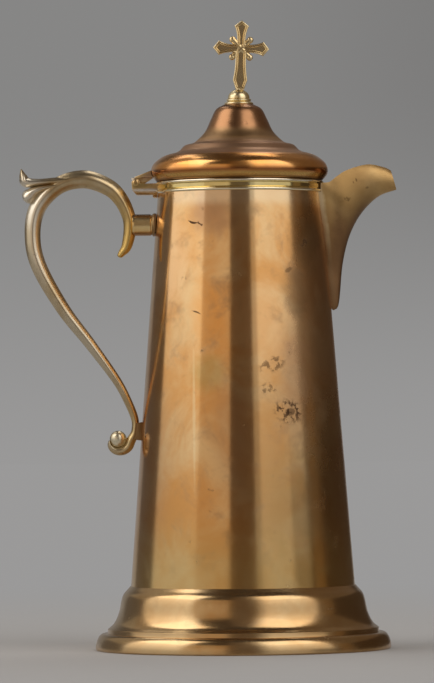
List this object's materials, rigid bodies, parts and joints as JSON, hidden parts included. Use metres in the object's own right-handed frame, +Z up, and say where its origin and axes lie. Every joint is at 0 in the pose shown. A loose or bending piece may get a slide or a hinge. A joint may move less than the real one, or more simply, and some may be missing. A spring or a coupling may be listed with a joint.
{
  "type": "lidded flagon",
  "caption": "Tapered brass church flagon on a spreading foot, with a beaked spout, a scroll handle and a hinged bell-shaped lid topped by a cross.",
  "frame": {"origin": "on the table plane, under the middle of the outline from the leaf tip behind the handle to the tip of the spout; the vessel's own axis is 17.9 mm further towards the spout", "axes": "+Z up along the vessel's axis, +X towards the spout, -X towards the handle and the hinge, +Y to the left when looking along +X"},
  "size_m": [0.2098, 0.1644, 0.35],
  "materials": {
    "body_brass": "worn satin sheet brass, golden brown",
    "lid_brass": "worn polished brass with a coppery tone",
    "pale_brass": "polished cast brass, pale yellow",
    "handle_brass": "polished cast brass with an olive patina",
    "inner_brass": "dull unpolished brass"
  },
  "bodies": {
    "vessel": {"foot_skirt": "body_brass", "body_shell": "body_brass", "body_floor": "inner_brass", "mouth_collar": "pale_brass", "spout": "body_brass", "handle": "handle_brass", "handle_strut": "pale_brass", "strut_boss": "pale_brass", "lower_lug": "inner_brass", "hinge_body_leaf": "pale_brass", "hinge_pin": "pale_brass"},
    "lid": {"hinge_lid_leaf": "pale_brass", "lid_shell": "lid_brass", "lid_bezel": "inner_brass", "finial_knop": "pale_brass", "cross": "pale_brass", "finial_washer": "inner_brass", "finial_nut": "inner_brass"}
  },
  "joints": [
    {"name": "lid_hinge", "type": "hinge", "parent": "vessel", "child": "lid", "pos_m": [-0.03984, 0, 0.2595], "axis": [0, -1, 0], "range_deg": [0, 100]}
  ]
}
